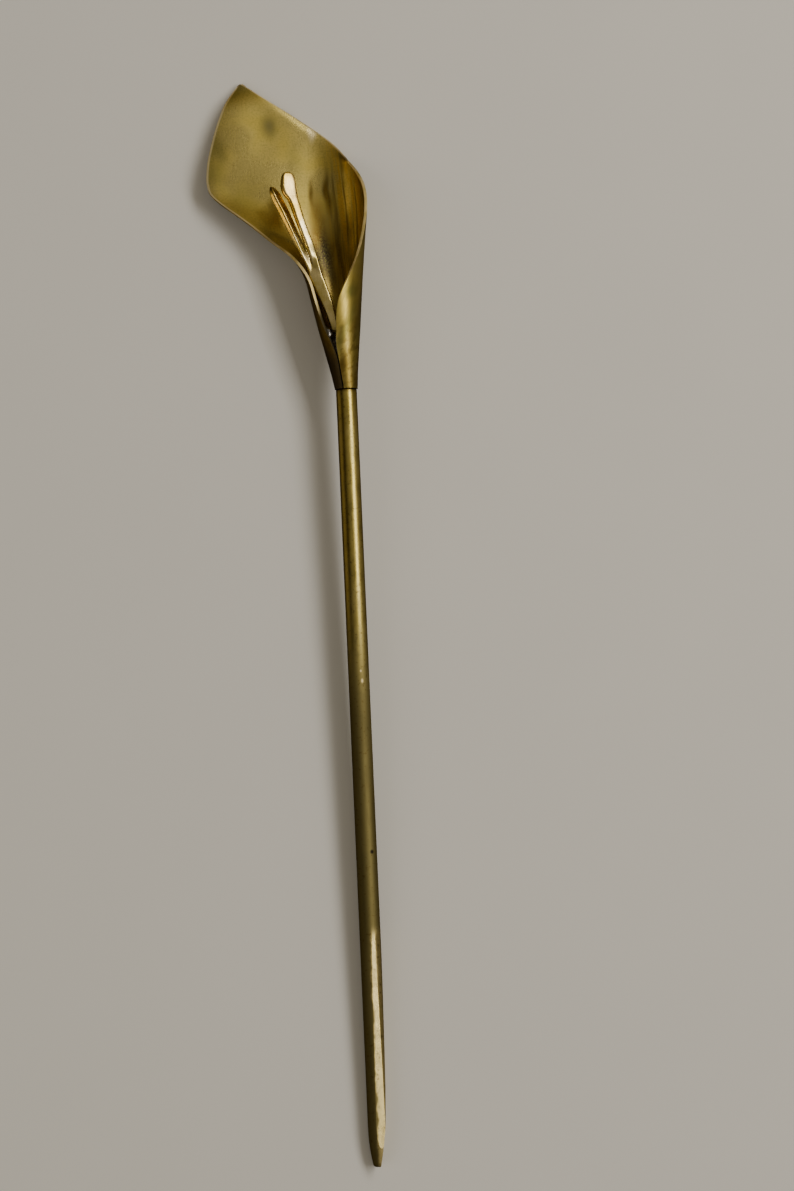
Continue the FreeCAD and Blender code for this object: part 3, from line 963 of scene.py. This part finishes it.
class HAIRSTICK_OT_add_fork(bpy.types.Operator):
    """Add the fork of two stamens on one stem, which stands in the flower"""

    bl_idname = "hair_stick.add_fork"
    bl_label = "Fork"

    def execute(self, context):
        settings = context.scene.hair_stick
        bm = bmesh.new()
        for rows in (RIGHT_PRONG_ROWS, LEFT_PRONG_ROWS, STEM_ROWS):
            limb(bm, rows)
        bm = joined(bm, settings.sizes.fork_grain / MM)
        fork = coat(bm, "fork", [fork_finish(settings.looks)])
        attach(fork, "root")
        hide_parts("stamens")
        return {"FINISHED"}


# The solder round the fork's foot: station, and how much of the flower's bore it fills
SOLDER_ROWS = (
    (4.70, 1.00), (5.80, 1.00), (6.90, 1.00), (7.45, 0.985), (7.90, 0.93),
    (8.25, 0.84), (8.55, 0.70), (8.75, 0.54), (8.90, 0.36),
)
SOLDER_CLEARANCE = 0.31
SOLDER_SIDES = 48

# Lumps of solder in the throat: centre and half sizes in mm, and turn in degrees
SOLDER_LUMPS = (
    ((-2.25, 8.3, 0.75), (0.72, 1.75, 0.85), 26.0),
    ((-1.3, 8.0, 0.2), (0.9, 1.5, 1.0), 15.0),
)

# The swells on the solder: their number to a mm, their seed, how far they lie under its
# skin, and where they start and grow to their full height
SWELLS_PER_MM = 1.1
SWELL_SEED = Vector((1.3, 0.4, 5.2))
SWELL_LEVEL = 0.35
SWELLS_FROM = 6.6
SWELLS_GROW = 1.2


class HAIRSTICK_OT_add_solder(bpy.types.Operator):
    """Add the lump of grey solder that holds the fork in the flower's throat"""

    bl_idname = "hair_stick.add_solder"
    bl_label = "Solder"

    def execute(self, context):
        settings = context.scene.hair_stick
        lumps = settings.sizes.solder_lumps / MM
        bm = bmesh.new()
        rings = tube(bm, [row[0] for row in SOLDER_ROWS], SOLDER_SIDES)
        for ring, (station, fill) in zip(rings, SOLDER_ROWS):
            row = row_at(PETAL, station)
            wide = (row["roll"] - SOLDER_CLEARANCE) * fill
            for vert in ring:
                side, height = row["side"] + vert.co.x * wide, row["height"] + vert.co.z * wide
                vert.co = Vector((side, station, height))
        for centre, size, turn in SOLDER_LUMPS:
            place = Matrix.Translation(centre) @ Matrix.Rotation(radians(turn), 4, "Z")
            place = place @ Matrix.Diagonal(size + (1.0,))
            bmesh.ops.create_icosphere(bm, subdivisions=4, radius=1.0, matrix=place)
        bm = joined(bm, settings.sizes.fork_grain / MM)
        bm.normal_update()
        for vert in bm.verts:
            swell = noise.noise(vert.co * SWELLS_PER_MM + SWELL_SEED) - SWELL_LEVEL
            grown = clamped((vert.co.y - SWELLS_FROM) / SWELLS_GROW)
            vert.co += vert.normal * swell * lumps * grown
        solder = coat(bm, "solder", [solder_finish(settings.looks)])
        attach(solder, "root")
        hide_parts("stamens")
        return {"FINISHED"}


# The camera: the photo's height in pixels, the lens and the sensor in mm, and its view in
# the stick's own frame, the centre in mm. The rod's 3.2 mm are 21 pixels wide
PICTURE_HEIGHT = 1191
LENS = 90.0
SENSOR = 36.0
VIEW_CENTRE = Vector((6.348, -31.924, 0.0))
VIEW_TILT = radians(3.0)
VIEW_ROLL = radians(2.54)
MM_PER_PIXEL = 3.2 / 21

# The nearest and the farthest that the camera shows, in m
CLIP_NEAR = 0.01
CLIP_FAR = 20.0

# The table top's side and how far it lies under the stick, in m
FLOOR_SIZE = 3.0
FLOOR_CELLS = 8
FLOOR_DROP = 0.00002

# Name, place, width and length, power and colour of each soft light, in m and W
LIGHTS = (
    ("key", (0.45, 0.155, 0.53), (0.70, 0.19), 2.8, (1.0, 0.95, 0.85)),
    ("fill", (-0.55, -0.25, 0.60), (0.6, 0.6), 0.8, (1.0, 0.93, 0.78)),
    ("warm", (-0.355, 0.24, 0.20), (0.16, 0.14), 0.0022, (1.0, 0.80, 0.36)),
    ("glow", (-0.30, -0.004, 0.032), (0.16, 0.05), 0.0012, (1.0, 0.74, 0.24)),
)

# The two small warm lights are narrow and aimed into the flower, the others at the stick
NARROW = ("warm", "glow")
NARROW_SPREAD = radians(20)
FLOWER_AIM = (-0.002, 0.062, 0.005)
STICK_AIM = (0.0, 0.03, 0.0)

# What the lights fall on that don't fall on everything
LIT_ALONE = {"warm": ("petal",), "glow": ("fork",), "fill": ("petal", "table_top")}

# The room as the metal mirrors it: its dark ground, and of each soft patch the way to it,
# the angles from there at which it starts and ends its fading, and its light. The camera
# sees a plain pale room instead
ROOM_DARK = (0.030, 0.022, 0.014)
ROOM_SEEN = (0.62, 0.61, 0.60)
ROOM_PATCHES = (
    ((0.24, 0.02, 1.0), 8.0, 64.0, (0.225, 0.211, 0.172)),
    ((1.0, 0.1, 0.10), 20.0, 75.0, (0.10, 0.09, 0.06)),
    ((0.2, -1.0, 0.25), 20.0, 65.0, (0.08, 0.07, 0.05)),
    ((0.30, 0.84, 0.46), 6.0, 34.0, (0.26, 0.205, 0.09)),
    ((-1.0, -0.12, 0.0), 8.0, 36.0, (0.20, 0.17, 0.11)),
)


def add_table_top(scene, looks):
    """The plain table, which glossy rays don't see, as dark things lay round the real stick"""
    bm = bmesh.new()
    counts = {"x_segments": FLOOR_CELLS, "y_segments": FLOOR_CELLS}
    bmesh.ops.create_grid(bm, size=FLOOR_SIZE / 2, **counts)
    mesh = bpy.data.meshes.new("table_top")
    bm.to_mesh(mesh)
    bm.free()
    mesh.materials.append(floor_finish(looks))
    floor = bpy.data.objects.new("table_top", mesh)
    floor.location.z = -FLOOR_DROP
    scene.collection.objects.link(floor)
    floor.visible_glossy = False


def add_world(scene):
    """The soft room that the metal mirrors, and a plain pale one for the camera"""
    world = bpy.data.worlds.new("room")
    scene.world = world
    world.use_nodes = True
    room = Nodes(world.node_tree)
    way = room.node("ShaderNodeTexCoord", {}).outputs["Generated"]
    light = room.node("ShaderNodeCombineXYZ", dict(enumerate(ROOM_DARK))).outputs[0]
    for centre, inner, outer, colour in ROOM_PATCHES:
        ways = {0: way, 1: Vector(centre).normalized()}
        near = room.node("ShaderNodeVectorMath", ways, operation="DOT_PRODUCT").outputs["Value"]
        span = {"Value": near, "From Min": cos(radians(outer)), "From Max": cos(radians(inner))}
        share = room.node("ShaderNodeMapRange", span, interpolation_type="SMOOTHSTEP").outputs[0]
        shone = {0: colour, "Scale": share}
        patch = room.node("ShaderNodeVectorMath", shone, operation="SCALE").outputs[0]
        light = room.node("ShaderNodeVectorMath", {0: light, 1: patch}, operation="ADD").outputs[0]
    seen = room.node("ShaderNodeLightPath", {}).outputs["Is Camera Ray"]
    shares = dict(zip(MIX_INPUTS, (seen, light, tinted(ROOM_SEEN))))
    shown = room.node("ShaderNodeMix", shares, data_type="RGBA").outputs[2]
    room.put(room.tree.nodes["Background"].inputs["Color"], shown)


def only_these(light_name):
    """A collection of the objects that the named light falls on"""
    group = bpy.data.collections.new(light_name + "_lit")
    for name in LIT_ALONE[light_name]:
        group.objects.link(bpy.data.objects[name])
    return group


def add_lights(scene):
    """The soft lights of the table LIGHTS"""
    for name, place, size, power, tint in LIGHTS:
        lamp = bpy.data.lights.new(name, "AREA")
        lamp.shape = "RECTANGLE"
        lamp.size, lamp.size_y = size
        lamp.energy = power
        lamp.color = tint
        light = bpy.data.objects.new(name, lamp)
        light.location = place
        aim = Vector(STICK_AIM)
        if name in NARROW:
            lamp.spread = NARROW_SPREAD
            aim = Vector(FLOWER_AIM)
        if name in LIT_ALONE:
            light.light_linking.receiver_collection = only_these(name)
        way = aim - Vector(place)
        light.rotation_euler = way.to_track_quat("-Z", "Y").to_euler()
        scene.collection.objects.link(light)


def add_camera(scene):
    """The camera at the photo's own viewing angle, as far off as the photo's scale says"""
    lens = bpy.data.cameras.new("camera")
    lens.lens = LENS
    lens.sensor_width = SENSOR
    lens.clip_start = CLIP_NEAR
    lens.clip_end = CLIP_FAR
    camera = bpy.data.objects.new("camera", lens)
    distance = LENS / SENSOR * PICTURE_HEIGHT * MM_PER_PIXEL
    seen_from = (
        Matrix.Translation(VIEW_CENTRE)
        @ Matrix.Rotation(VIEW_TILT, 4, "X")
        @ Matrix.Rotation(-VIEW_ROLL, 4, "Z")
        @ Matrix.Translation((0.0, 0.0, distance))
    )
    camera.location, turn, _ = (LYING @ seen_from).decompose()
    camera.rotation_euler = turn.to_euler()
    scene.collection.objects.link(camera)
    scene.camera = camera


class HAIRSTICK_OT_add_stage(bpy.types.Operator):
    """Add the pale table, the soft lights and the camera"""

    bl_idname = "hair_stick.add_stage"
    bl_label = "Table, lights and camera"

    def execute(self, context):
        scene = context.scene
        add_table_top(scene, scene.hair_stick.looks)
        add_world(scene)
        add_lights(scene)
        add_camera(scene)
        return {"FINISHED"}


class VIEW3D_PT_hair_stick(bpy.types.Panel):
    """A panel with the sizes, the looks and a button for each piece"""

    bl_label = "Hair Stick"
    bl_space_type = "VIEW_3D"
    bl_region_type = "UI"
    bl_category = "Hair Stick"

    def draw(self, context):
        settings = context.scene.hair_stick
        for group in (settings.sizes, settings.looks):
            box = self.layout.box()
            for name in group.bl_rna.properties.keys():
                if name not in ("rna_type", "name"):
                    box.prop(group, name)
        column = self.layout.column(align=True)
        for step in STEPS:
            column.operator(step.bl_idname)


STEPS = (
    HAIRSTICK_OT_add_petal,
    HAIRSTICK_OT_add_rod,
    HAIRSTICK_OT_add_fork,
    HAIRSTICK_OT_add_solder,
    HAIRSTICK_OT_add_stage,
)
CLASSES = (HairStickSizes, HairStickLooks, HairStickSettings) + STEPS + (VIEW3D_PT_hair_stick,)


def register():
    for part in CLASSES:
        bpy.utils.register_class(part)
    bpy.types.Scene.hair_stick = PointerProperty(type=HairStickSettings)


def unregister():
    del bpy.types.Scene.hair_stick
    for part in reversed(CLASSES):
        bpy.utils.unregister_class(part)


def main():
    register()
    for step in STEPS:
        group, name = step.bl_idname.split(".")
        getattr(getattr(bpy.ops, group), name)()


if __name__ == "__main__":
    main()
